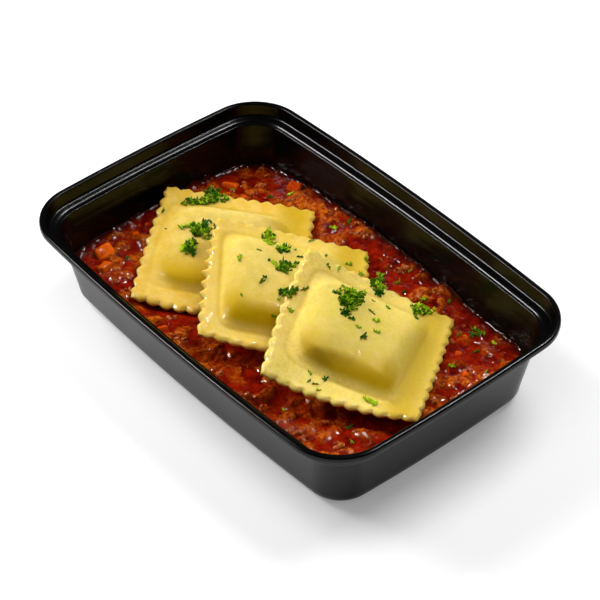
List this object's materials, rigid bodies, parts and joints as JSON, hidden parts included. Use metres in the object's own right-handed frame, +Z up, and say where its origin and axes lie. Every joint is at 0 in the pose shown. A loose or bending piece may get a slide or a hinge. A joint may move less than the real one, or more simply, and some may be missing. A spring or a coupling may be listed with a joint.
{
  "type": "ravioli in meat sauce in a tray",
  "caption": "Square scalloped ravioli lying like shingles in chunky meat sauce, with chopped parsley, in a shallow black tray with a stepped rim.",
  "frame": {"origin": "middle of the tray's footprint, on the surface it stands on", "axes": "+Z up, +X along the long side of the tray, +Y along its short side"},
  "size_m": [0.222, 0.1496, 0.0463],
  "materials": {
    "tray_plastic": "black, semi-gloss",
    "meat_sauce": "wet and oily, with minced meat, carrot dice and parsley",
    "pasta": "cooked egg pasta, moist, with chopped parsley"
  },
  "bodies": {
    "root": {"tray": "tray_plastic", "sauce": "meat_sauce", "ravioli_back": "pasta", "ravioli_middle": "pasta", "ravioli_front": "pasta"}
  },
  "joints": []
}
